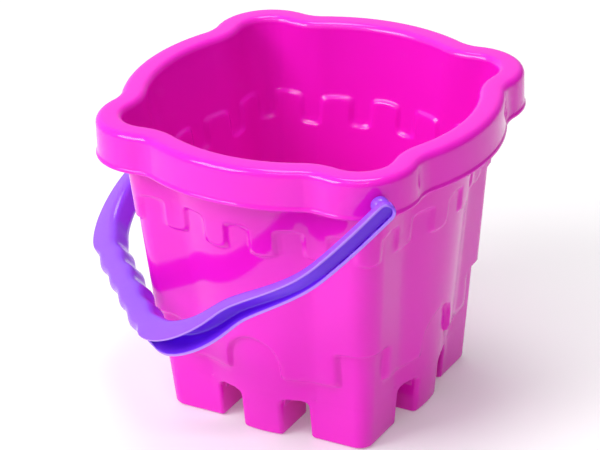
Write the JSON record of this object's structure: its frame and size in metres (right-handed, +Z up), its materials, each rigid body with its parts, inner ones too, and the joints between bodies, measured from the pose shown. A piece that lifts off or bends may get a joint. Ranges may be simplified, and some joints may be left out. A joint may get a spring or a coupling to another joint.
{
  "type": "castle sand bucket",
  "caption": "Pink plastic sand bucket with castle battlements, corner towers, gate arches and block feet, and a violet bail handle that swings over the rim",
  "frame": {"origin": "Centre of the bucket at ground level, under the middle of the mouth", "axes": "+X along the line of the two handle pivots, +Z up from the feet to the mouth, the handle at rest hangs down on the -Y side"},
  "size_m": [0.2354, 0.215, 0.16],
  "materials": {
    "bucket_plastic": "gloss",
    "handle_plastic": "gloss"
  },
  "bodies": {
    "bucket": {"bucket": "bucket_plastic"},
    "handle": {"handle": "handle_plastic"}
  },
  "joints": [
    {"name": "handle_swing", "type": "hinge", "parent": "bucket", "child": "handle", "pos_m": [0, 0, 0.148], "axis": [-1, 0, 0], "range_deg": [0, 261]}
  ]
}
